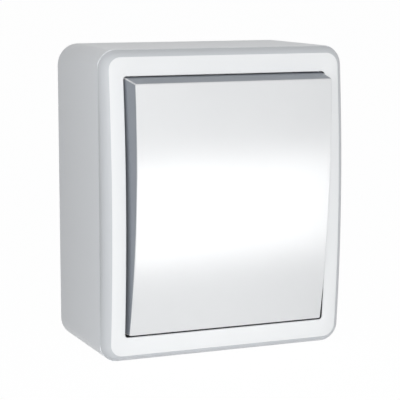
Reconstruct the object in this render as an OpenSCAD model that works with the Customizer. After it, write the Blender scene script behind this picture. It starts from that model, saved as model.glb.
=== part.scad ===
// Surface mounted light switch: a deep back box for the wall, a barrel-fronted frame clipped
// on it and a wide rocker key that turns a two-way see-saw contact in an insulating block.
// Millimetres. The wall is the plane y = 0, the front looks to -y and z is up.
// Parts are drawn on the wall's plan: x to the right, y up, and z out of the wall.

/* [Back box] */
// Width of the box at its front rim
body_w = 66; // [60:0.5:80]
// Height of the box at its front rim
body_h = 77.6; // [74:0.1:95]
// Depth of the box from the wall to its rim
box_depth = 30.9; // [28:0.1:42]
// Radius of the four long corners
corner_r = 5.6; // [5.4:0.1:5.6]
// Thickness of the side walls
side_wall = 2.2; // [1.6:0.1:2.6]
// Thickness of the back wall
back_wall = 2.4; // [2:0.1:3]
// Taper of each side from the wall to the rim
box_taper = 0.35; // [0.2:0.05:0.5]
// Distance between the two wall screw slots
wall_slot_gap = 42; // [36:0.5:46]
// Width of a wall screw slot
wall_slot_w = 4.4; // [3.6:0.1:5]
// Length of a wall screw slot, end to end
wall_slot_len = 8; // [6:0.1:10]
// Diameter of the cable hole in the back wall
cable_hole_d = 16; // [14:0.5:18]
// Height of the cable hole over the middle of the box
cable_hole_up = 13; // [11:0.5:14]
// Diameter of the knock-outs in the top and bottom walls
knockout_d = 16; // [12:0.5:18]
// Wall left at a knock-out's ring
knockout_skin = 0.8; // [0.5:0.1:1]

/* [Cable membrane] */
// Thickness of the membrane's flanges
membrane_flange = 0.8; // [0.6:0.1:1]
// Width of the membrane's flanges beyond the cable hole
membrane_lip = 1.6; // [1:0.1:2]
// Bore of the membrane
membrane_bore_d = 10; // [8:0.5:11]

/* [Front frame] */
// Height of the frame's face over the box rim, half-way up
frame_rise = 4.5; // [4.2:0.1:5.5]
// Radius of the barrel that the face follows
barrel_r = 360; // [340:5:600]
// Width of the band between the side and the white face
band_inset = 1.95; // [1.5:0.05:2.4]
// Depth of the band
band_drop = 2.6; // [2.2:0.1:3]
// Radius of the band's section
band_r = 4; // [3:0.1:8]
// Thickness of the frame's plate
frame_plate = 2.2; // [1.6:0.1:2.4]
// Width of the frame's bars beside the opening
side_bar_w = 5.65; // [5.6:0.05:7]
// Width of the frame's bars above and below the opening
end_bar_w = 6.35; // [5.7:0.05:7.3]
// Corner radius of the opening
opening_r = 0.8; // [0.5:0.1:1.2]
// Thickness of the lip round the opening
lip_wall = 1; // [0.8:0.1:1.2]
// Thickness of the frame's skirt inside the box
skirt_wall = 1.2; // [1:0.1:1.3]
// Depth of the skirt below the box rim
skirt_depth = 4; // [3.6:0.1:4.4]
// Width of a clip on the skirt
clip_w = 9; // [6:0.5:12]
// Reach of a clip into the box wall
clip_reach = 0.8; // [0.5:0.1:1]

/* [Rocker key] */
// Gap between the key and the opening, at the sides
key_side_gap = 0.65; // [0.4:0.05:0.8]
// Gap between the key and the opening, above and below
key_end_gap = 0.6; // [0.55:0.05:0.8]
// Height of the key's middle over the frame's face, upright
key_rise = 4; // [3.5:0.1:5]
// Radius of the key's bowed front
key_bow_r = 226; // [200:1:400]
// Taper of the key's sides in degrees
key_side_taper = 5.2; // [3:0.1:6]
// Taper of the key's ends in degrees
key_end_taper = 6; // [4:0.1:6.5]
// Thickness of the key's shell
key_wall = 1.7; // [1.4:0.1:2]
// Depth of the key's skirt below the crest of the frame's face
key_skirt = 4.9; // [4.2:0.1:5]
// Tilt of the key at rest, with its top edge out
key_tilt = 4.7; // [4:0.1:4.9]
// Thickness of the ribs under the key's front
key_rib = 1.2; // [1:0.1:1.6]

/* [Rocker lever] */
// Depth of the lever's axis below the crest of the frame's face
axis_depth = 3.9; // [3.6:0.1:4.2]
// Radius of the lever's trunnions
trunnion_r = 1.6; // [1.3:0.1:1.8]
// Radial clearance of the trunnions
trunnion_play = 0.05; // [0.03:0.01:0.09]
// Distance from the axis to the lever's table
table_up = 3.5; // [3.4:0.1:3.8]
// Thickness of the lever's table
table_t = 1.6; // [1.2:0.1:1.8]
// Width of the lever's table
table_w = 30; // [28:0.5:34]
// Length of the lever's table
table_len = 22; // [18:0.5:26]
// Radius of the bore for the plunger
guide_bore_r = 2; // [1.8:0.1:2.2]
// Wall of the plunger's guide
guide_wall = 1.2; // [0.9:0.1:1.4]
// Length of the plunger's guide behind the axis
guide_len = 12; // [11:0.1:12.4]

/* [Plunger and spring] */
// Radius of the plunger's round tip
plunger_tip_r = 1.2; // [1:0.1:1.3]
// Radial clearance of the plunger in its guide
plunger_play = 0.1; // [0.06:0.01:0.15]
// Travel of the plunger into its guide
plunger_travel = 0.6; // [0.4:0.1:0.8]
// Diameter of the spring's wire
spring_wire = 0.56; // [0.4:0.02:0.6]
// Turns of the spring
spring_turns = 6; // [4:1:7]

/* [Contacts] */
// Depth of the see-saw's pivot below the carrier's back
pivot_down = 9.7; // [9:0.1:10]
// Thickness of the see-saw
seesaw_t = 1; // [0.8:0.1:1.1]
// Width of the see-saw
seesaw_w = 7; // [6.6:0.1:8]
// Tilt of the see-saw to each side
seesaw_tilt = 6; // [5:0.1:6.5]
// Room in the chamber beyond the axis of a contact tip
tip_room = 5; // [4.6:0.1:5.4]
// Radius of a contact tip
tip_r = 1.6; // [1.3:0.1:1.8]
// Height of a contact tip on the see-saw
tip_t = 0.8; // [0.6:0.1:1]
// Air left between closed tips
tip_air = 0.1; // [0.08:0.01:0.2]
// Air left between the see-saw and its ridge
pivot_air = 0.25; // [0.2:0.01:0.3]
// Air between the see-saw's middle and the plunger, upright
plunger_air = 0.25; // [0.2:0.01:0.4]
// Thickness of the brass strips
strip_t = 0.8; // [0.6:0.1:1]
// Width of the brass strips
strip_w = 4; // [3.4:0.1:4.4]

/* [Mechanism] */
// Width of the insulating block
block_w = 40; // [38:0.5:44]
// Height of the insulating block
block_h = 42; // [40:0.5:46]
// Depth of the insulating block
block_depth = 15; // [14.6:0.1:16]
// Thickness of the block's floor
block_floor = 1.6; // [1.2:0.1:1.8]
// Width of the contact chamber
chamber_w = 13; // [12:0.1:14]
// Wall of the block beyond each end of the chamber
chamber_wall = 6.5; // [6:0.1:7]
// Distance from a pillar's axis to the block's side
pillar_in = 6; // [5.8:0.1:6.4]
// Distance from an outgoing pillar's axis to the block's end
pillar_down = 12; // [11.6:0.1:12.4]
// Width of a pillar
pillar_w = 7; // [6:0.1:7.4]
// Height of a pillar on the plan
pillar_h = 8; // [7:0.1:9]
// Depth of a pillar
pillar_t = 8; // [7:0.1:8.6]
// Radius of the wire bore in a pillar
wire_r = 1.6; // [1.2:0.1:1.8]
// Radius of a terminal screw's thread
screw_r = 1.5; // [1.2:0.1:1.7]
// Radius of a terminal screw's head
screw_head_r = 2.4; // [2:0.1:2.7]
// Height of a terminal screw's head
screw_head_t = 1.8; // [1.4:0.1:2]
// Thickness of the mechanism's cover
cover_t = 2.2; // [1.8:0.1:2.4]
// Thickness of a bearing ear
ear_t = 3; // [2.4:0.1:3.2]
// Material left round the bearing in an ear
ear_wall = 1.3; // [1:0.1:1.4]

/* [Carrier] */
// Width of the steel carrier beyond the block on each side
carrier_rim = 3; // [2:0.5:4]
// Thickness of the steel carrier
carrier_t = 1; // [0.8:0.1:1.2]
// Depth of the carrier's back below the box rim
carrier_down = 6.9; // [6.7:0.1:7.4]
// Place of a carrier screw between the block's end and the box wall, as a share
screw_share = 0.577; // [0.55:0.001:0.6]
// Place of the carrier's end between its screw and the box wall, as a share
carrier_share = 0.606; // [0.55:0.001:0.65]
// Length of the slot round a carrier screw
carrier_slot_len = 8; // [6:0.5:9]
// Length of a carrier screw's thread
carrier_screw_len = 9; // [7:0.5:11]
// Radius of a carrier screw
carrier_screw_r = 1.4; // [1.2:0.1:1.6]
// Radius of a carrier screw's head
carrier_head_r = 2.9; // [2.4:0.1:3]
// Height of a carrier screw's head
carrier_head_t = 1.5; // [1.2:0.1:1.8]
// Radius of the boss under a carrier screw
boss_r = 3.6; // [3.2:0.1:3.8]
// Radius of a hollow rivet
rivet_r = 1.5; // [1.2:0.1:1.8]
// Bore of a hollow rivet
rivet_bore_r = 0.9; // [0.7:0.1:1]
// Distance from a rivet to the block's side and end
rivet_in = 3; // [2.8:0.1:3.2]

/* [Earth terminal] */
// Air between the earth terminal and the bottom wall
earth_air = 5; // [4.5:0.1:6]
// Wall of the cradle that holds the earth terminal
cradle_wall = 1.2; // [1:0.1:1.4]
// Height of the cradle's walls
cradle_h = 4; // [3:0.5:5]
// Length of the earth terminal
earth_w = 9; // [8:0.5:9.4]
// Height of the earth terminal on the plan
earth_h = 7; // [6:0.5:8]
// Thickness of the earth terminal
earth_t = 8; // [7:0.5:10]

/* [Clearances] */
// Gap where one piece slides into another
fit_gap = 0.15; // [0.08:0.01:0.3]
// Gap round a screw or a rivet in its hole
hole_gap = 0.1; // [0.05:0.01:0.3]

/* [Hidden] */
$fn = 32;
over = 1; // how far a cutter runs past what it cuts

crest_out = box_depth + frame_rise;
opening_w = body_w - 2 * side_bar_w;
opening_h = body_h - 2 * end_bar_w;
axis_out = crest_out - axis_depth;
inner_w = body_w - 2 * side_wall;
inner_h = body_h - 2 * side_wall;
chamber_h = block_h - 2 * chamber_wall;
tip_reach = chamber_h / 2 - tip_room;
pillar_side = block_w / 2 - pillar_in;
pillar_up = block_h / 2 - pillar_down;
rivet_side = block_w / 2 - rivet_in;
rivet_up = block_h / 2 - rivet_in;
carrier_screw_gap = block_h + screw_share * (inner_h - block_h);
carrier_h = carrier_screw_gap + carrier_share * (inner_h - carrier_screw_gap);
carrier_w = block_w + 2 * carrier_rim;
earth_side = (inner_w - earth_w) / 2 - cradle_wall - 2 * fit_gap;
earth_down = (inner_h - earth_h) / 2 - earth_air;
carrier_out = box_depth - carrier_down;
block_back = carrier_out - block_depth;
pivot_out = carrier_out - pivot_down;
web_t = 1.6; // thickness of small ribs, noses and rings

white = "whitesmoke";
brass = "goldenrod";
steel = "silver";

// Places its children on the wall's plan
module on_wall() rotate([90, 0, 0]) children();

module mirrored_x() {
    children();
    mirror([1, 0, 0]) children();
}

module mirrored_y() {
    children();
    mirror([0, 1, 0]) children();
}

// A block centred on x and y, from one height to another
module block(w, h, from, to) translate([-w / 2, -h / 2, from]) cube([w, h, to - from]);

// A round post or hole
module post(r, from, to) translate([0, 0, from]) cylinder(r = r, h = to - from);

// A cylinder along x, centred on x
module axle(r, length) rotate([0, 90, 0]) cylinder(r = r, h = length, center = true);

module rounded_outline(w, h, r) difference() {
    square([w, h], center = true);
    mirrored_x() mirrored_y() translate([w / 2 - r, h / 2 - r]) difference() {
        square(r + over);
        circle(r = r);
    }
}

module rounded_slab(w, h, r, from, to)
    translate([0, 0, from]) linear_extrude(to - from) rounded_outline(w, h, r);

// Two places on the plan's upright middle line
module up_and_down(y) {
    translate([0, y, 0]) children();
    translate([0, -y, 0]) children();
}

// Four places in a rectangle
module four_places(x, y) for (sx = [-1, 1], sy = [-1, 1]) translate([sx * x, sy * y, 0]) children();

/* Back box */

// Space in the wall for the clips of the frame
clip_up = body_h / 4;
clip_t = web_t;
clip_out = box_depth - skirt_depth;

module box_shell() difference() {
    rounded_slab(body_w + 2 * box_taper, body_h + 2 * box_taper, corner_r, 0, box_depth);
    rounded_slab(inner_w, inner_h, corner_r - side_wall, back_wall, box_depth + over);
    mirrored_x() side_draft(body_w / 2, body_h);
    mirrored_y() rotate([0, 0, 90]) side_draft(body_h / 2, body_w);
}

// Everything outside a side face that leans in towards the rim
module side_draft(half, length)
    translate([half + box_taper, 0, 0]) rotate([0, -atan(box_taper / box_depth), 0])
        translate([0, -length / 2 - corner_r, -over]) cube([corner_r, length + 2 * corner_r, box_depth + 2 * over]);

// A hole of round ends that runs along x
module slot(length, width, from, to) {
    block(length - width, width, from, to);
    mirrored_x() translate([(length - width) / 2, 0, 0]) post(width / 2, from, to);
}

// The ring that is thinned in a wall for a knock-out
module knockout_ring() translate([0, inner_h / 2 - over, box_depth / 2]) rotate([-90, 0, 0]) difference() {
    cylinder(d = knockout_d, h = over + side_wall - knockout_skin);
    cylinder(d = knockout_d - web_t, h = over + side_wall - knockout_skin);
}

module carrier_boss() {
    difference() {
        union() {
            post(boss_r, back_wall, carrier_out);
            boss_web();
        }
        post(carrier_screw_r + hole_gap, carrier_out - carrier_screw_len - 3, carrier_out + over);
    }
}

// The rib that ties a boss to the end wall
module boss_web() translate([-web_t / 2, 0, back_wall])
    cube([web_t, (inner_h - carrier_screw_gap) / 2, carrier_out - back_wall]);

module earth_cradle() translate([-earth_side, -earth_down, 0]) difference() {
    block(earth_w + 2 * (fit_gap + cradle_wall), earth_h + 2 * (fit_gap + cradle_wall), back_wall,
        back_wall + cradle_h);
    block(earth_w + 2 * fit_gap, earth_h + 2 * fit_gap, back_wall, back_wall + cradle_h + over);
    translate([0, 0, back_wall + earth_t / 2]) axle(wire_r + wire_play, 2 * earth_w);
}

module back_box() color(white) on_wall() difference() {
    union() {
        box_shell();
        mirrored_y() translate([0, carrier_screw_gap / 2, 0]) carrier_boss();
        intersection() {
            earth_cradle();
            rounded_slab(inner_w + side_wall, inner_h + side_wall, corner_r, 0, box_depth);
        }
    }
    mirrored_x() translate([wall_slot_gap / 2, 0, 0]) slot(wall_slot_len, wall_slot_w, -over, back_wall + over);
    translate([0, cable_hole_up, 0]) {
        post(cable_hole_d / 2, -over, back_wall + over);
        post(cable_hole_d / 2 + membrane_lip + fit_gap, -over, membrane_flange);
    }
    mirrored_y() knockout_ring();
    mirrored_x() clip_pockets();
}

// Pockets that the frame's clips snap into
module clip_pockets() up_and_down(clip_up) translate([inner_w / 2, 0, 0])
    block(2 * (clip_reach + fit_gap), clip_w + 4 * fit_gap, clip_out - fit_gap, clip_out + clip_t + fit_gap);

/* Cable membrane */

module cable_membrane() color("gainsboro") on_wall() translate([0, cable_hole_up, 0]) difference() {
    union() {
        post(cable_hole_d / 2 + membrane_lip, 0, membrane_flange);
        post(cable_hole_d / 2 - hole_gap, 0, back_wall + membrane_flange);
        post(cable_hole_d / 2 + membrane_lip, back_wall, back_wall + membrane_flange);
    }
    post(membrane_bore_d / 2, -over, back_wall + membrane_flange + over);
}

/* Earth terminal */

earth_out = back_wall + earth_t;

module earth_terminal() color(brass) on_wall() translate([-earth_side, -earth_down, 0]) difference() {
    block(earth_w, earth_h, back_wall, earth_out);
    translate([0, 0, back_wall + earth_t / 2]) axle(wire_r, 2 * earth_w);
    post(screw_r + hole_gap, back_wall + earth_t / 2, earth_out + over);
}

module earth_screw() color(steel) on_wall() translate([-earth_side, -earth_down, 0])
    slotted_screw(screw_r, screw_head_r, screw_head_t, back_wall + earth_t / 2 + wire_r / 2, earth_out);

// A cheese-head screw: the thread runs from its point to the seat, the head stands on the seat
module slotted_screw(r, head_r, head_t, point, seat) difference() {
    union() {
        post(r, point, seat);
        post(head_r, seat, seat + head_t);
    }
    block(2 * head_r + over, head_r / 3, seat + head_t / 2, seat + head_t + over);
}

/* Carrier */

carrier_front = carrier_out + carrier_t;
window_step = 3; // how far the window's end parts stand in from its middle part
window_air = 0.5; // from the pillar screws' heads to the window's edge
window_w = 2 * (pillar_side + screw_head_r + window_air);
window_h = chamber_h;

module carrier_plate() color(steel) on_wall() difference() {
    rounded_slab(carrier_w, carrier_h, corner_r / 2, carrier_out, carrier_front);
    block(window_w - 2 * window_step, window_h, carrier_out - over, carrier_front + over);
    block(window_w, 2 * (pillar_up + screw_head_r + window_air), carrier_out - over, carrier_front + over);
    up_and_down(carrier_screw_gap / 2) slot(carrier_slot_len, 2 * carrier_screw_r + 4 * hole_gap, carrier_out - over,
        carrier_front + over);
    four_places(rivet_side, rivet_up) post(rivet_r + hole_gap, carrier_out - over, carrier_front + over);
}

module carrier_screws() color(steel) on_wall() up_and_down(carrier_screw_gap / 2)
    slotted_screw(carrier_screw_r, carrier_head_r, carrier_head_t, carrier_front - carrier_screw_len,
        carrier_front);

/* Mechanism block */

block_r = 2; // corner radius of block and cover
chamber_floor = block_back + block_floor;
pillar_back = chamber_floor + strip_t;

// Room for a pillar, its screw and its wire
module pillar_room() block(pillar_w + 2 * fit_gap, pillar_h + 2 * fit_gap, chamber_floor, carrier_out + over);

screw_way_r = screw_head_r + 0.3;
wire_play = 0.6; // radial room for a wire outside its clamp
module pillar_screw_way() post(screw_way_r, carrier_out - over, carrier_front + cover_t + over);

// Round way for a wire from the block's edge to a pillar
module wire_way(length) translate([0, length / 2, pillar_back + pillar_t / 2]) rotate([90, 0, 0])
    cylinder(r = wire_r + wire_play - hole_gap, h = length, center = true);

module mechanism_block() color("lightgray") on_wall() difference() {
    rounded_slab(block_w, block_h, block_r, block_back, carrier_out);
    block(chamber_w, chamber_h, chamber_floor, carrier_out + over);
    mirrored_y() translate([pillar_side, pillar_up, 0]) {
        pillar_room();
        wire_way(block_h / 2);
    }
    translate([-pillar_side, 0, 0]) rotate([0, 0, 90]) {
        pillar_room();
        wire_way(block_w / 2);
    }
    mirrored_y() translate([0, tip_reach, 0]) strip_way(1);
    strip_way(-1);
    four_places(rivet_side, rivet_up) {
        post(rivet_r + hole_gap, block_back - over, carrier_out + over);
        post(rivet_head_r + fit_gap, block_back - over, block_back + rivet_head_t);
    }
}

// The gap in the partition that a strip is laid through, on the side given
module strip_way(side) translate([side * pillar_side / 2, 0, 0])
    block(pillar_side, strip_w + 2 * fit_gap, chamber_floor, carrier_out + over);

/* Terminals */

module pillar() difference() {
    block(pillar_w, pillar_h, chamber_floor, pillar_back + pillar_t);
    translate([0, 0, pillar_back + pillar_t / 2]) rotate([90, 0, 0])
        cylinder(r = wire_r, h = 2 * pillar_h, center = true);
    post(screw_r + hole_gap, pillar_back + pillar_t / 2, pillar_back + pillar_t + over);
}

// A pillar on the right with a strip that ends under the see-saw
module outgoing_terminal() {
    translate([pillar_side, pillar_up, 0]) pillar();
    translate([-strip_w / 2, tip_reach - strip_w / 2, chamber_floor])
        cube([pillar_side + strip_w / 2 - pillar_w / 4, strip_w, strip_t]);
}

module upper_terminal() color(brass) on_wall() outgoing_terminal();

module lower_terminal() color(brass) on_wall() mirror([0, 1, 0]) outgoing_terminal();

// The ridge that the see-saw rocks on ends one small air gap below it
ridge_r = 0.8;
ridge_out = pivot_out - pivot_air - ridge_r;

module common_terminal() color(brass) on_wall() {
    translate([-pillar_side, 0, 0]) rotate([0, 0, 90]) pillar();
    translate([pillar_w / 4 - pillar_side, -strip_w / 2, chamber_floor])
        cube([pillar_side - pillar_w / 4 + seesaw_w / 2, strip_w, strip_t]);
    block(seesaw_w, 2 * ridge_r, chamber_floor, ridge_out);
    translate([0, 0, ridge_out]) axle(ridge_r, seesaw_w);
}

// The lowest corner of a closed tip on the see-saw sets the height of the fixed tips
pivot_skirt = 0.1; // height of the see-saw's back over its pivot
closed_out = pivot_out - (tip_t - pivot_skirt) * cos(seesaw_tilt) - (tip_reach + tip_r) * sin(seesaw_tilt);
fixed_tip_out = closed_out - tip_air;

module fixed_tips() color("gainsboro") on_wall() up_and_down(tip_reach)
    post(tip_r, chamber_floor + strip_t, fixed_tip_out);

module terminal_screws() color(steel) on_wall() {
    mirrored_y() translate([pillar_side, pillar_up, 0]) terminal_screw();
    translate([-pillar_side, 0, 0]) terminal_screw();
}

module terminal_screw() slotted_screw(screw_r, screw_head_r, screw_head_t,
    pillar_back + pillar_t / 2 + wire_r / 2, pillar_back + pillar_t);

/* See-saw contact */

seesaw_len = 2 * (tip_reach + 1.25 * tip_r);
seesaw_back = pivot_out + pivot_skirt;
cheek_t = seesaw_t - 0.2;
cheek_up = 2 * seesaw_t;

// Turns the see-saw to its rest, with the upper tips closed
module seesaw_at_rest() translate([0, 0, pivot_out]) rotate([-seesaw_tilt, 0, 0])
    translate([0, 0, -pivot_out]) children();

module moving_contact() color(brass) on_wall() seesaw_at_rest() {
    block(seesaw_w, seesaw_len, seesaw_back, seesaw_back + seesaw_t);
    mirrored_x() translate([seesaw_w / 2 - cheek_t / 2, 0, 0])
        block(cheek_t, tip_reach, seesaw_back, seesaw_back + seesaw_t + cheek_up);
}

module moving_tips() color("gainsboro") on_wall() seesaw_at_rest() up_and_down(tip_reach)
    post(tip_r, seesaw_back - tip_t, seesaw_back);

/* Mechanism cover */

cover_front = carrier_front + cover_t;
ear_r = trunnion_r + trunnion_play + ear_wall;
ear_in = pillar_side - screw_way_r - hole_gap - ear_t; // inner face of each bearing ear
guide_r = guide_bore_r + guide_wall;
stop_gap = 0.2;
guide_slot_h = 2 * (guide_r / cos(key_tilt) + (axis_out - carrier_out) * tan(key_tilt) + stop_gap);
guide_slot_w = 2 * (guide_r + 2 * stop_gap);

module bearing_ear() difference() {
    union() {
        translate([ear_in, -ear_r, carrier_front]) cube([ear_t, 2 * ear_r, axis_out - carrier_front]);
        translate([ear_in + ear_t / 2, 0, axis_out]) axle(ear_r, ear_t);
    }
    translate([ear_in + ear_t / 2, 0, axis_out]) axle(trunnion_r + trunnion_play, ear_t + over);
}

module mechanism_cover() color(white) on_wall() {
    difference() {
        rounded_slab(block_w, block_h, block_r, carrier_front, cover_front);
        block(guide_slot_w, guide_slot_h, carrier_front - over, cover_front + over);
        mirrored_y() translate([pillar_side, pillar_up, 0]) pillar_screw_way();
        translate([-pillar_side, 0, 0]) pillar_screw_way();
        four_places(rivet_side, rivet_up) post(rivet_r + hole_gap, carrier_front - over, cover_front + over);
    }
    mirrored_x() bearing_ear();
}

/* Hollow rivets */

rivet_head_r = rivet_r + 1;
rivet_head_t = 0.5;

module hollow_rivets() color(brass) on_wall() four_places(rivet_side, rivet_up) difference() {
    union() {
        post(rivet_r, block_back, cover_front);
        post(rivet_head_r, block_back, block_back + rivet_head_t);
        post(rivet_head_r, cover_front, cover_front + rivet_head_t);
    }
    post(rivet_bore_r, block_back - over, cover_front + rivet_head_t + over);
}

/* Rocker lever */

table_back = axis_out + table_up;
table_front = table_back + table_t;
guide_back = axis_out - guide_len;

// Turns the key and its lever to their rest, with the top edge out
module key_at_rest() translate([0, 0, axis_out]) rotate([key_tilt, 0, 0]) translate([0, 0, -axis_out]) children();

module rocker_lever() color("gainsboro") on_wall() key_at_rest() difference() {
    union() {
        post(guide_r, guide_back, table_front);
        translate([0, 0, axis_out]) axle(trunnion_r, 2 * (ear_in + ear_t - fit_gap));
        block(2 * (ear_in - 2 * stop_gap), 2 * trunnion_r, axis_out - trunnion_r, table_back);
        block(table_w, table_len, table_back, table_front);
        mirrored_y() translate([0, table_len / 4, 0]) block(table_w / 3, key_rib, axis_out, table_back);
        block(key_rib, table_len / 2, axis_out, table_back);
    }
    post(guide_bore_r, guide_back - over, axis_out + 1);
}

/* Plunger and spring */

seesaw_front = seesaw_back + seesaw_t;
plunger_end = seesaw_front + plunger_air;
plunger_stem_r = guide_bore_r - plunger_play;
plunger_shoulder = plunger_end + 2.5 * plunger_tip_r;
plunger_seat = guide_back + 0.3 * guide_len;
spring_seat = axis_out + 1 - plunger_travel - hole_gap;
spring_r = guide_bore_r - plunger_play - fit_gap - spring_wire / 2;

module plunger() color(white) on_wall() key_at_rest() {
    translate([0, 0, plunger_end + plunger_tip_r]) sphere(r = plunger_tip_r);
    post(plunger_tip_r, plunger_end + plunger_tip_r, plunger_shoulder);
    post(plunger_stem_r, plunger_shoulder, plunger_seat);
    post(spring_r - spring_wire / 2 - 2 * plunger_play, plunger_seat, plunger_seat + spring_r);
}

// A round wire wound up from one height to another
module coil(r, wire, from, to, turns) {
    sides = 6;
    rings = 12 * turns;
    pitch = (to - from - wire) / rings;
    points = [for (i = [0:rings], j = [0:sides - 1]) let (turn = 30 * i, reach = r + wire / 2 * cos(60 * j))
        [reach * cos(turn), reach * sin(turn), from + wire / 2 * (1 + sin(60 * j)) + pitch * i]];
    skin = [for (i = [0:rings - 1], j = [0:sides - 1]) let (a = i * sides + j, b = i * sides + (j + 1) % sides)
        [a, b, b + sides, a + sides]];
    first_end = [for (j = [0:sides - 1]) sides - 1 - j];
    last_end = [for (j = [0:sides - 1]) rings * sides + j];
    polyhedron(points, concat(skin, [first_end, last_end]));
}

module plunger_spring() color(steel) on_wall() key_at_rest()
    coil(spring_r, spring_wire, plunger_seat, spring_seat, spring_turns);

/* Rocker key */

key_front = crest_out + key_rise;
key_back = crest_out - key_skirt;
// Height at which the gaps to the opening are measured
gap_out = crest_out - 1.4;
key_half_w = opening_w / 2 - key_side_gap;
key_half_h = opening_h / 2 - key_end_gap;

// Half the key's width or height at a given place over the wall
function key_half(half, taper, out) = half + (gap_out - out) * tan(taper);

// Section of the key, or of its hollow, seen along the other axis
module key_section(half, taper, inset, from, to) polygon([
    [key_half(half, taper, from) - inset, from],
    [key_half(half, taper, to) - inset, to],
    [inset - key_half(half, taper, to), to],
    [inset - key_half(half, taper, from), from]]);

// The key's form: tapered sides, tapered ends and a front bowed from top to bottom
module key_form(inset, from, front) {
    top = key_front + over;
    intersection() {
        rotate([90, 0, 0]) linear_extrude(body_h, center = true)
            key_section(key_half_w, key_side_taper, inset, from, top);
        rotate([0, 0, 90]) rotate([90, 0, 0]) linear_extrude(body_w, center = true)
            key_section(key_half_h, key_end_taper, inset, from, top);
        translate([0, 0, front - key_bow_r]) rotate([0, 90, 0])
            cylinder(r = key_bow_r, h = body_w, center = true, $fn = 360);
    }
}

// A leg that grips the edge of the lever's table
module key_leg() {
    leg_w = table_len / 2 - 3;
    hook = 0.8;
    hook_t = 1;
    translate([table_w / 2 + fit_gap, -leg_w / 2, table_back - hook_t])
        cube([key_rib, leg_w, key_front - key_wall - table_back + hook_t]);
    translate([table_w / 2 - hook, -leg_w / 2, table_back - hook_t])
        cube([key_rib + hook, leg_w, hook_t - fit_gap]);
}

// Ribs under the front that rest on the lever's table
module key_ribs() {
    mirrored_x() translate([table_w / 2 - 2, 0, 0]) block(key_rib, 2 * key_half_h - key_wall, table_front, key_front);
    mirrored_y() translate([0, table_len / 2 - 2, 0]) block(table_w - 4, key_rib, table_front, key_front);
}

module rocker_key() color(white) on_wall() key_at_rest() {
    difference() {
        key_form(0, key_back, key_front);
        key_form(key_wall, key_back - over, key_front - key_wall);
    }
    intersection() {
        union() {
            key_ribs();
            mirrored_x() mirrored_y() translate([0, table_len / 4, 0]) key_leg();
        }
        key_form(key_wall / 2, axis_out - over, key_front - key_wall / 2);
    }
}

/* Front frame */

// The frame's band is one section, carried along the barrel at the sides, straight across at
// the top and bottom, and turned round an axis square to the barrel at each corner.
// In the section x runs inwards from the side face and y outwards from the barrel's surface.
bar_w = (body_h - opening_h) / 2 + opening_r + 2;
bar_depth = frame_rise + 2;
bar_top = 0.5;
// The band is part of a circle through its two edges
band_chord = sqrt(pow(band_inset, 2) + pow(band_drop, 2));
band_lean = atan(band_inset / band_drop);
band_arc = asin(band_chord / 2 / band_r);
// Angle on the barrel at which the corners stand
corner_up = body_h / 2 - corner_r;
corner_angle = asin(corner_up / barrel_r);

// A place on the band, from its lower edge at 0 to its upper edge at 1
function band_place(part) = let (tangent = band_lean + band_arc * (part - 1),
    run = 2 * band_r * sin(band_arc * part))
    [run * sin(tangent), run * cos(tangent) - band_drop];

// The band's last facet runs on above the barrel, which cuts it off
band_last = band_place(0.75);
function band_end(top) = [band_last[0] - (band_inset - band_last[0]) * (top - band_last[1]) / band_last[1], top];

// The flare under the band lies outside the side face and is cut off flush with it
flare = (bar_depth - band_drop) * tan(band_lean - band_arc);

module bar_section(width, top) intersection() {
    polygon([[-flare, -bar_depth], band_place(0), band_place(0.25), band_place(0.5), band_last,
        band_end(top), [width, top], [width, -bar_depth]]);
    translate([-over, -bar_depth]) square([width + 2 * over, bar_depth + top + over]);
}

// Turns about the barrel's own axis, which lies level behind the wall
module on_barrel(angle) translate([0, 0, crest_out - barrel_r]) rotate([-angle, 0, 0]) children();

module side_bar() on_barrel(0) rotate([0, -90, 0]) mirror([0, 0, 1])
    rotate_extrude(angle = corner_angle, $fn = 360) translate([barrel_r, body_w / 2]) rotate(-90)
        bar_section(bar_w, bar_top);

module end_bar() on_barrel(corner_angle) translate([0, corner_r, barrel_r])
    rotate([90, 0, -90]) linear_extrude(body_w - 2 * corner_r, center = true) bar_section(bar_w, 2 * bar_top);

module corner_bar() on_barrel(corner_angle)
    translate([body_w / 2 - corner_r, 0, barrel_r]) rotate_extrude(angle = 90) intersection() {
        translate([corner_r, 0]) mirror([1, 0]) bar_section(corner_r + over, 2 * bar_top);
        translate([0, -bar_depth]) square([corner_r + flare + over, bar_depth + 3 * bar_top]);
    }

module frame_form() intersection() {
    mirrored_y() {
        mirrored_x() {
            side_bar();
            corner_bar();
        }
        end_bar();
    }
    behind_barrel(0);
    rounded_slab(body_w, body_h, corner_r, box_depth, crest_out + over);
}

// Everything behind the barrel, pushed in by the depth given
module behind_barrel(depth) translate([0, 0, crest_out - barrel_r]) rotate([0, 90, 0])
    cylinder(r = barrel_r - depth, h = body_w + 2 * over, center = true, $fn = 360);

module opening_ring(grow, from, to) difference() {
    rounded_slab(opening_w + 2 * grow, opening_h + 2 * grow, opening_r + grow, from, to);
    rounded_slab(opening_w, opening_h, opening_r, from - over, to + over);
}

module skirt_ring() difference() {
    w = inner_w - 2 * fit_gap;
    h = inner_h - 2 * fit_gap;
    r = corner_r - side_wall - fit_gap;
    rounded_slab(w, h, r, clip_out, box_depth + over);
    rounded_slab(w - 2 * skirt_wall, h - 2 * skirt_wall, r - skirt_wall, clip_out - over, box_depth + 2 * over);
}

// A wedge nose on the skirt that snaps into the box wall
module frame_clip() translate([inner_w / 2 - fit_gap, 0, clip_out]) rotate([90, 0, 0])
    linear_extrude(clip_w, center = true) polygon([[-skirt_wall / 2, 0], [0, 0], [clip_reach, clip_t * 0.7],
        [clip_reach, clip_t], [-skirt_wall / 2, clip_t]]);

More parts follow.
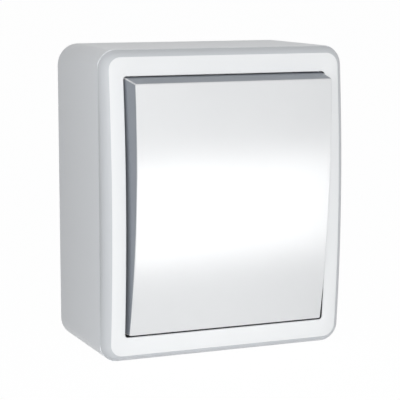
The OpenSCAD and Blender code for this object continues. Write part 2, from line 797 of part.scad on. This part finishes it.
module front_frame() color(white) on_wall() {
    difference() {
        frame_form();
        intersection() {
            behind_barrel(frame_plate + band_drop / 2);
            rounded_slab(inner_w - 2 * fit_gap - 2 * skirt_wall, inner_h - 2 * fit_gap - 2 * skirt_wall,
                corner_r - side_wall - skirt_wall, box_depth - over, crest_out);
        }
        rounded_slab(opening_w, opening_h, opening_r, box_depth - over, crest_out + over);
    }
    opening_ring(lip_wall, box_depth, crest_out - frame_plate - 1);
    skirt_ring();
    mirrored_x() up_and_down(clip_up) frame_clip();
}

back_box();
cable_membrane();
earth_terminal();
earth_screw();
carrier_plate();
carrier_screws();
mechanism_block();
mechanism_cover();
hollow_rivets();
common_terminal();
upper_terminal();
lower_terminal();
fixed_tips();
terminal_screws();
moving_contact();
moving_tips();
rocker_lever();
plunger();
plunger_spring();
rocker_key();
front_frame();
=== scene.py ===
from math import asin, cos, hypot, pi, radians, sin, sqrt, tan

import bmesh
import bpy
from mathutils import Matrix, Vector


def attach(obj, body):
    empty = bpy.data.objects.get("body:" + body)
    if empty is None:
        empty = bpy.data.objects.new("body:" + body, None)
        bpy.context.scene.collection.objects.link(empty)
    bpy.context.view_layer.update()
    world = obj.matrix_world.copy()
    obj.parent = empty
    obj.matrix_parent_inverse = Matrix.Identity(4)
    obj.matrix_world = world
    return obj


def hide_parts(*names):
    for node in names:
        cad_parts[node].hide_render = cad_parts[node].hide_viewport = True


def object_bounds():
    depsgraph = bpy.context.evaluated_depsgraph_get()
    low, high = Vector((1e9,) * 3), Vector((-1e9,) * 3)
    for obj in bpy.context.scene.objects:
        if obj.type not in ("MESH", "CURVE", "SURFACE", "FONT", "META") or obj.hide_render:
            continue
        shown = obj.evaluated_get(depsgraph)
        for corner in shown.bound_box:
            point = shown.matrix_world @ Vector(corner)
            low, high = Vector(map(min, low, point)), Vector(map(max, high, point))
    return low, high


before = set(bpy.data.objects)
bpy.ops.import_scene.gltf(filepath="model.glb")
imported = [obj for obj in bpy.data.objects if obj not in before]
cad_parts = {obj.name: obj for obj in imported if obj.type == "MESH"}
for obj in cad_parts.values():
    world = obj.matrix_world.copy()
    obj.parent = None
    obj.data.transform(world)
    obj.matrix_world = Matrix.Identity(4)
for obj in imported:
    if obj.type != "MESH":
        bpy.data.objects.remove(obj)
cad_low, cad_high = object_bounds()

MM = 0.001

# The camera stands to the left of the switch and a little above it, on a long lens,
# so that the front, the left side and the top of the box show together.
camera_turn, camera_lift = radians(22.718), radians(8.383)
camera_away, camera_aside, camera_over = 0.39332, 0.001248, 0.001209
camera_aim = Vector((0, -0.0197, 0))
camera_back = Vector((-sin(camera_turn) * cos(camera_lift), -cos(camera_turn) * cos(camera_lift), sin(camera_lift)))
camera_right = Vector((cos(camera_turn), -sin(camera_turn), 0))
camera_up = camera_back.cross(camera_right)
bpy.context.scene.view_settings.view_transform = "Standard"
lens = bpy.data.cameras.new("long_lens")
lens.sensor_width = 36
lens.lens = 135.8
lens.clip_start, lens.clip_end = 0.01, 50
camera = bpy.data.objects.new("camera", lens)
camera.matrix_world = Matrix((camera_right, camera_up, camera_back)).transposed().to_4x4()
camera.location = (camera_aim + camera_away * camera_back - camera_aside * camera_right
                   - camera_over * camera_up)
bpy.context.scene.collection.objects.link(camera)
bpy.context.scene.camera = camera


# The room is a plain white table in a white studio. Light comes from all round, with one wide
# soft lamp in front on the left and a low one in front that shows in the bowed key.
class Number:
    """A socket that adds Math nodes when it is used in a sum."""

    def __init__(self, finish, socket):
        self.finish, self.socket = finish, socket

    def sum(self, operation, first, second):
        return self.finish.node("ShaderNodeMath", {"operation": operation}, {0: first, 1: second})

    def __add__(self, other):
        return self.sum("ADD", self, other)

    def __sub__(self, other):
        return self.sum("SUBTRACT", self, other)

    def __rsub__(self, other):
        return self.sum("SUBTRACT", other, self)

    def __mul__(self, other):
        return self.sum("MULTIPLY", self, other)

    __radd__, __rmul__ = __add__, __mul__

    def most(self, other):
        return self.sum("MAXIMUM", self, other)


class Finish:
    """A node tree that is filled by node(), which takes a type, settings and sockets."""

    def __init__(self, owner):
        self.owner = owner
        owner.use_nodes = True
        owner.node_tree.nodes.clear()

    def node(self, kind, settings, sockets, output=0):
        made = self.owner.node_tree.nodes.new(kind)
        for name, value in settings.items():
            if name == "stops":
                for place, (where, colour) in enumerate(value):
                    stop = made.color_ramp.elements[place] if place < 2 else made.color_ramp.elements.new(where)
                    stop.position, stop.color = where, colour
            else:
                setattr(made, name, value)
        for name, value in sockets.items():
            if isinstance(value, Number):
                self.owner.node_tree.links.new(value.socket, made.inputs[name])
            else:
                made.inputs[name].default_value = value
        return Number(self, made.outputs[output]) if len(made.outputs) else None

    def seen_directly(self):
        """1 for what the camera, a reflection or a clear part shows, 0 for light on the object."""
        path = [self.node("ShaderNodeLightPath", {}, {}, name)
                for name in ("Is Camera Ray", "Is Glossy Ray", "Is Transmission Ray")]
        return path[0].most(path[1]).most(path[2])


def grey(value):
    return (value, value, value, 1)


world = bpy.data.worlds.new("studio")
bpy.context.scene.world = world
air = Finish(world)
daylight = air.node("ShaderNodeBackground", {}, {"Color": (0.93, 0.965, 1.0, 1), "Strength": 0.26})
white_air = air.node("ShaderNodeBackground", {}, {"Color": grey(1), "Strength": 1.0})
air.node("ShaderNodeOutputWorld", {}, {"Surface": air.node(
    "ShaderNodeMixShader", {}, {0: air.seen_directly(), 1: daylight, 2: white_air})})

table = bmesh.new()
bmesh.ops.create_grid(table, x_segments=1, y_segments=1, size=6)
bmesh.ops.translate(table, verts=table.verts, vec=(0, 0, cad_low.z - 0.00002))
table_mesh = bpy.data.meshes.new("table")
table.to_mesh(table_mesh)
table.free()
table_top = bpy.data.objects.new("table", table_mesh)
bpy.context.scene.collection.objects.link(table_top)
board = bpy.data.materials.new("table_white")
paint = Finish(board)
matt = paint.node("ShaderNodeBsdfDiffuse", {}, {"Color": (0.9, 0.91, 0.92, 1)})
bright = paint.node("ShaderNodeEmission", {}, {"Color": grey(1), "Strength": 1.02})
paint.node("ShaderNodeOutputMaterial", {}, {"Surface": paint.node(
    "ShaderNodeMixShader", {}, {0: paint.seen_directly() * 0.96, 1: matt, 2: bright})})
table_mesh.materials.append(board)


def lamp(name, place, aim, width, height, power, lights_surfaces=True):
    """A soft lamp. One that lights no surfaces shows only as a reflection in the gloss."""
    light = bpy.data.lights.new(name, "AREA")
    light.shape, light.size, light.size_y, light.energy = "RECTANGLE", width, height, power
    stand = bpy.data.objects.new(name, light)
    stand.visible_diffuse = lights_surfaces
    stand.location = place
    stand.rotation_euler = (Vector(aim) - Vector(place)).to_track_quat("-Z", "Y").to_euler()
    bpy.context.scene.collection.objects.link(stand)


lamp("front_softbox", (-0.34, -1.3, 0.2), (0, -0.03, 0), 0.7, 0.7, 12.6)
lamp("side_panel", (-0.22, -0.26, 0.03), (-0.02, -0.03, 0), 0.12, 0.12, 0.08)
lamp("low_strip", (0.0205, -0.085, -0.0165), (0.0205, -0.0385, -0.0085), 0.1, 0.039, 0.0875, False)


# The back box is one deep moulding of glossy white plastic with tapered sides and
# rounded long corners. Two slots and a hole with a rubber membrane are in its back.
def moulded(name, colour, roughness, grain_size=0.28 * MM, grain=0.02, painted_back_shade=1.0, ior=1.5):
    """Moulded plastic with a faint cloudiness and a fine grain, and with painted shade that darkens it towards the
    back if asked.
    """
    material = bpy.data.materials.new(name)
    plastic = Finish(material)
    place = plastic.node("ShaderNodeTexCoord", {}, {}, "Object")
    cloud = plastic.node("ShaderNodeTexNoise", {}, {"Vector": place, "Scale": 70.0, "Detail": 3.0})
    fine = plastic.node("ShaderNodeTexNoise", {}, {"Vector": place, "Scale": 1 / grain_size, "Detail": 2.0})
    darker = tuple(0.975 * part for part in colour)
    shade = plastic.node("ShaderNodeMix", {"data_type": "RGBA"},
                         {0: cloud, 6: (*darker, 1), 7: (*colour, 1)}, 2)
    # Painted shade: the colour fades to the given share of itself towards the back of the box, standing in for light
    # falling off along the sides.
    if painted_back_shade < 1:
        out = plastic.node("ShaderNodeSeparateXYZ", {}, {0: place}, 1) * (-1 / box_depth)
        shade = plastic.node("ShaderNodeMix", {"data_type": "RGBA", "clamp_factor": True},
                             {0: out, 6: (*(painted_back_shade * part for part in colour), 1), 7: shade}, 2)
    bump = plastic.node("ShaderNodeBump", {}, {"Strength": grain, "Distance": 0.1 * MM, "Height": fine})
    skin = plastic.node("ShaderNodeBsdfPrincipled", {}, {
        "Base Color": shade, "Roughness": cloud * 0.06 + (fine * 0.05 + (roughness - 0.055)),
        "Normal": bump, "IOR": ior})
    plastic.node("ShaderNodeOutputMaterial", {}, {"Surface": skin})
    return material


def dress(node, material):
    """Gives a solid of the frame its finish."""
    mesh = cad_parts[node].data
    mesh.materials.clear()
    mesh.materials.append(material)


box_depth = 30.9 * MM
# The shell is painted darker towards its back, a painted shade for the light that falls off along its sides.
shell_white = moulded("shell_white", (0.91, 0.925, 0.945), 0.32, painted_back_shade=0.8)
dress("back_box", shell_white)

# The membrane is soft grey rubber that closes round the cable.
rubber = moulded("membrane_rubber", (0.42, 0.43, 0.44), 0.7, 0.4 * MM, 0.06)
dress("cable_membrane", rubber)


# Brass for the terminals and rivets, zinc-plated steel for the screws, the carrier and the
# spring, all cut or stamped, so with fine marks along them.
def metal(name, colour, roughness, stretch=(1, 1, 9)):
    """Drawn or stamped metal: bright, with fine marks that run one way."""
    material = bpy.data.materials.new(name)
    sheet = Finish(material)
    place = sheet.node("ShaderNodeTexCoord", {}, {}, "Object")
    along = sheet.node("ShaderNodeMapping", {}, {"Vector": place, "Scale": stretch})
    marks = sheet.node("ShaderNodeTexNoise", {}, {"Vector": along, "Scale": 900.0, "Detail": 4.0})
    dull = sheet.node("ShaderNodeTexNoise", {}, {"Vector": place, "Scale": 160.0, "Detail": 3.0})
    worn = tuple(0.8 * part for part in colour)
    shade = sheet.node("ShaderNodeMix", {"data_type": "RGBA"}, {0: dull, 6: (*worn, 1), 7: (*colour, 1)}, 2)
    bump = sheet.node("ShaderNodeBump", {}, {"Strength": 0.12, "Distance": 0.05 * MM, "Height": marks})
    skin = sheet.node("ShaderNodeBsdfPrincipled", {}, {
        "Base Color": shade, "Metallic": 1.0, "Roughness": marks * 0.14 + (dull * 0.1 + (roughness - 0.12)),
        "Normal": bump})
    sheet.node("ShaderNodeOutputMaterial", {}, {"Surface": skin})
    return material


brass = metal("brass", (0.83, 0.63, 0.3), 0.32)
plated = metal("plated_steel", (0.64, 0.64, 0.61), 0.36)
for node in ("earth_terminal", "common_terminal", "upper_terminal", "lower_terminal", "hollow_rivets",
             "moving_contact"):
    dress(node, brass)
for node in ("earth_screw", "terminal_screws", "carrier_screws", "carrier_plate"):
    dress(node, plated)
dress("plunger_spring", metal("spring_wire", (0.55, 0.55, 0.56), 0.25))
silver = metal("silver_tips", (0.9, 0.89, 0.86), 0.2)
dress("fixed_tips", silver)
dress("moving_tips", silver)

# The mechanism's block and cover are matt insulating plastic, and so are lever and plunger.
insulator = moulded("insulator_grey", (0.66, 0.66, 0.64), 0.6, 0.35 * MM, 0.05)
dress("mechanism_block", insulator)
dress("mechanism_cover", insulator)
lever_white = moulded("lever_white", (0.8, 0.8, 0.77), 0.5, 0.3 * MM, 0.03)
dress("rocker_lever", lever_white)
dress("plunger", lever_white)

# The rocker key is a hollow cap of glossy white plastic, tapered on all sides and bowed from
# top to bottom. Two ribs and four hooked legs hold it on the lever; it rests with its top out.
crest_out, axis_out = 35.4 * MM, 31.5 * MM
key_front, key_back, key_gap_out = 39.395 * MM, 30.5 * MM, 34.0 * MM
key_half_w, key_half_h = 26.7 * MM, 31.85 * MM
key_side_lean, key_end_lean = tan(radians(5.2)), tan(radians(6))
key_bow_r, key_wall, key_tilt = 226 * MM, 1.7 * MM, radians(4.7)
key_edge_r = 0.28 * MM


def bowed(up):
    """How far the key's front stands out at a height."""
    return key_front - key_bow_r + sqrt(key_bow_r ** 2 - up ** 2)


def piece(name, shape, materials, body, slot, *nodes, crease=14):
    """Makes a finished mesh an object of the switch, smooth but for its creases."""
    bmesh.ops.recalc_face_normals(shape, faces=shape.faces)
    mesh = bpy.data.meshes.new(name)
    shape.to_mesh(mesh)
    shape.free()
    mesh.shade_smooth()
    mesh.set_sharp_from_angle(angle=radians(crease))
    for material in materials:
        mesh.materials.append(material)
    made = bpy.data.objects.new(name, mesh)
    bpy.context.scene.collection.objects.link(made)
    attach(made, body)
    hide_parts(*nodes)
    return made


def bar(shape, low, high):
    """A straight rib between two corners."""
    size = [top - bottom for bottom, top in zip(low, high)]
    middle = [(top + bottom) / 2 for bottom, top in zip(low, high)]
    bmesh.ops.create_cube(shape, size=1, matrix=Matrix.Translation(middle) @ Matrix.Diagonal((*size, 1)))


cap = bmesh.new()
front_half_h = key_half_h
for _ in range(4):
    front_half_h = key_half_h + (key_gap_out - bowed(front_half_h)) * key_end_lean
front = bmesh.ops.create_grid(cap, x_segments=2, y_segments=48, size=1,
                              matrix=Matrix.Rotation(radians(90), 4, "X"))["verts"]
for vert in front:
    up = vert.co.z * front_half_h
    out = bowed(up)
    vert.co = (vert.co.x * (key_half_w + (key_gap_out - out) * key_side_lean), -out, up)
rim = [edge for edge in cap.edges if edge.is_boundary]
walls = bmesh.ops.extrude_edge_only(cap, edges=rim)["geom"]
back_half_w = key_half_w + (key_gap_out - key_back) * key_side_lean
back_half_h = key_half_h + (key_gap_out - key_back) * key_end_lean
for part in walls:
    if isinstance(part, bmesh.types.BMVert):
        half_w = key_half_w + (key_gap_out + part.co.y) * key_side_lean
        part.co = (part.co.x * back_half_w / half_w, -key_back, part.co.z * back_half_h / front_half_h)
# The key's side walls take the second finish, a painted shade.
for wall in cap.faces:
    wall.normal_update()
    wall.material_index = abs(wall.normal.y) < 0.5
bmesh.ops.recalc_face_normals(cap, faces=cap.faces)
bmesh.ops.solidify(cap, geom=cap.faces[:], thickness=key_wall)
bmesh.ops.recalc_face_normals(cap, faces=cap.faces)
edges = [edge for edge in cap.edges if edge.is_convex and edge.calc_face_angle(0) > radians(40)
         and min(vert.co.y for vert in edge.verts) < -key_back - key_edge_r]
bmesh.ops.bevel(cap, geom=edges, offset=key_edge_r, offset_type="OFFSET", segments=4, profile=0.5,
                affect="EDGES", material=0)
for side in (-1, 1):
    rib_x = side * 13 * MM
    bar(cap, (rib_x - 0.6 * MM, -37.9 * MM, -20 * MM), (rib_x + 0.6 * MM, -36.62 * MM, 20 * MM))
    bar(cap, (-12.4 * MM, -38.2 * MM, side * 9 * MM - 0.6 * MM), (12.4 * MM, -36.62 * MM, side * 9 * MM + 0.6 * MM))
    for up in (-5.5, 5.5):
        leg_x = sorted((side * 15.15 * MM, side * 16.35 * MM))
        hook_x = sorted((side * 14.2 * MM, side * 16.3 * MM))
        bar(cap, (leg_x[0], -38.3 * MM, (up - 4) * MM), (leg_x[1], -34.5 * MM, (up + 4) * MM))
        bar(cap, (hook_x[0], -34.9 * MM, (up - 4) * MM), (hook_x[1], -34.0 * MM, (up + 4) * MM))
bmesh.ops.rotate(cap, cent=(0, -axis_out, 0), matrix=Matrix.Rotation(key_tilt, 3, "X"), verts=cap.verts)
key_white = moulded("key_white", (0.8, 0.803, 0.805), 0.3)
# Painted shade: the key's side walls are the key's white plastic painted dark blue-grey for the shade they stand in
# beside the frame.
key_wall_painted_shade = moulded("key_wall_painted_shade", (0.31, 0.335, 0.375), 0.4)
piece("key_cap", cap, (key_white, key_wall_painted_shade), "key", "white_key", "rocker_key")


# The front frame is one moulding, clipped into the box. Its bars are one section carried along
# a barrel that bows from top to bottom: a rounded band, a crisp crease and a slightly crowned
# face that rolls over into the opening.
body_w, body_h, body_r, rim_out = 66 * MM, 77.6 * MM, 4.6 * MM, 30.9 * MM
opening_w, opening_h, opening_r = 54.7 * MM, 64.9 * MM, 0.8 * MM
barrel_r, band_in, band_drop, band_arc_r, crown_r = 360 * MM, 1.95 * MM, 2.6 * MM, 4 * MM, 12 * MM
crease_r = 3.1 * MM
rim_bevel, roll_r, skirt_t, skirt_back = 0.16 * MM, 0.3 * MM, 1.2 * MM, 26.9 * MM
skirt_w, skirt_h, skirt_r = 61.3 * MM, 72.9 * MM, 3.25 * MM
lip_t, plate_t = 1.0 * MM, 3.5 * MM


def ring(shape, width, height, radius, out, bent=True):
    """A rounded rectangle, standing out from the wall or at a height over the barrel."""
    straight_w, straight_h = width / 2 - radius, height / 2 - radius
    verts = []
    for side, end, start in ((-1, -1, 180), (1, -1, 270), (1, 1, 0), (-1, 1, 90)):
        for step in range(11):
            turn = radians(start + 9 * step)
            verts.append(shape.verts.new((side * straight_w + radius * cos(turn), 0,
                                          end * straight_h + radius * sin(turn))))
        if side != end:
            for step in range(1, 36):
                verts.append(shape.verts.new((side * width / 2, 0, end * straight_h * (1 - step / 18))))
    for vert in verts:
        if bent:
            turn = vert.co.z / barrel_r
            reach = barrel_r + out
            vert.co.y = -max(crest_out - barrel_r + reach * cos(turn), rim_out + rim_bevel if bent == "rim" else 0)
            vert.co.z = reach * sin(turn)
        else:
            vert.co.y = -out
    return verts


def barrel_height(height, over):
    """Length along the barrel that comes to a height, at a level over its surface."""
    return 2 * barrel_r * asin(height / 2 / (barrel_r + over))


def crown(share):
    """Height of the face over the barrel, from its crease at 0 to the opening at 1."""
    return sqrt(crown_r ** 2 - ((share - 0.5) * (side_bar - band_in)) ** 2) - crown_r


side_bar, end_bar = (body_w - opening_w) / 2, (body_h - opening_h) / 2
full_h = barrel_height(body_h, -band_drop)
open_h = barrel_height(opening_h, crown(1))
band_rise = band_drop + crown(0)
band_chord = hypot(band_in, band_rise)
band_lean, band_half = asin(band_in / band_chord), asin(band_chord / 2 / band_arc_r)
moulding = bmesh.new()
rings = [ring(moulding, body_w - 2 * rim_bevel, body_h - 2 * rim_bevel, body_r - rim_bevel, rim_out, False),
         ring(moulding, body_w, body_h, body_r, rim_out + rim_bevel, False)]
for step in range(7):
    part = step / 6
    run, tangent = 2 * band_arc_r * sin(band_half * part), band_lean + band_half * (part - 1)
    inset = run * sin(tangent)
    rings.append(ring(moulding, body_w - 2 * inset, full_h - 2 * inset,
                      body_r + (crease_r - body_r) * inset / band_in,
                      run * cos(tangent) - band_drop, "rim"))
roll_share = 1 - roll_r / (side_bar - band_in)
for step in range(1, 13):
    share = roll_share * step / 12
    rings.append(ring(moulding, body_w - 2 * (band_in + share * (side_bar - band_in)),
                      full_h + share * (open_h - full_h + 2 * band_in) - 2 * band_in,
                      crease_r + share * (opening_r - crease_r), crown(share)))
for step in range(1, 7):
    turn = radians(10 + 80 * step / 6)
    rings.append(ring(moulding, opening_w + 2 * roll_r * (1 - sin(turn)), open_h + 2 * roll_r * (1 - sin(turn)),
                      opening_r + roll_r * (1 - sin(turn)), crown(roll_share) - roll_r * (1 - cos(turn))))
face_rings, roll_end = rings[8:-1], rings[-1]
lip_w, lip_h = opening_w + 2 * lip_t, opening_h + 2 * lip_t
rings += [
    ring(moulding, opening_w, opening_h, opening_r, rim_out, False),
    ring(moulding, lip_w, lip_h, opening_r + lip_t, rim_out, False),
    ring(moulding, lip_w, barrel_height(lip_h, -plate_t), opening_r + lip_t, -plate_t),
    ring(moulding, skirt_w - 2 * skirt_t, barrel_height(skirt_h - 2 * skirt_t, -plate_t), skirt_r - skirt_t, -plate_t),
    ring(moulding, skirt_w - 2 * skirt_t, skirt_h - 2 * skirt_t, skirt_r - skirt_t, skirt_back, False),
    ring(moulding, skirt_w, skirt_h, skirt_r, skirt_back, False),
    ring(moulding, skirt_w, skirt_h, skirt_r, rim_out, False)]
for one, other in zip(rings, rings[1:] + rings[:1]):
    for place in range(len(one)):
        wall = moulding.faces.new((one[place - 1], one[place], other[place], other[place - 1]))
        # The face takes the frame's own white, the band a grey painted shade and the opening's inner wall a near-black
        # painted shade.
        wall.material_index = 2 if one is roll_end else one in face_rings
bmesh.ops.remove_doubles(moulding, verts=moulding.verts, dist=1e-6)
for side in (-1, 1):
    for up in (-19.4, 19.4):
        nose = sorted((side * 30.4 * MM, side * 31.4 * MM))
        bar(moulding, (nose[0], -28.5 * MM, (up - 4.5) * MM), (nose[1], -27.6 * MM, (up + 4.5) * MM))
# Painted shade: the opening's inner wall is the frame's white plastic painted near black for the dark gap round the
# key.
opening_wall_painted_shade = moulded("opening_wall_painted_shade", (0.05, 0.052, 0.056), 0.5)
face_white = moulded("face_white", (0.92, 0.925, 0.925), 0.6, ior=1.2)
# Painted shade: the band, rim and hidden inner parts are the frame's white plastic painted grey for the shade the band
# gets.
band_painted_shade = moulded("band_painted_shade", (0.66, 0.676, 0.695), 0.32)
piece("front_moulding", moulding, (band_painted_shade, face_white, opening_wall_painted_shade), "case", "white_shell", "front_frame")
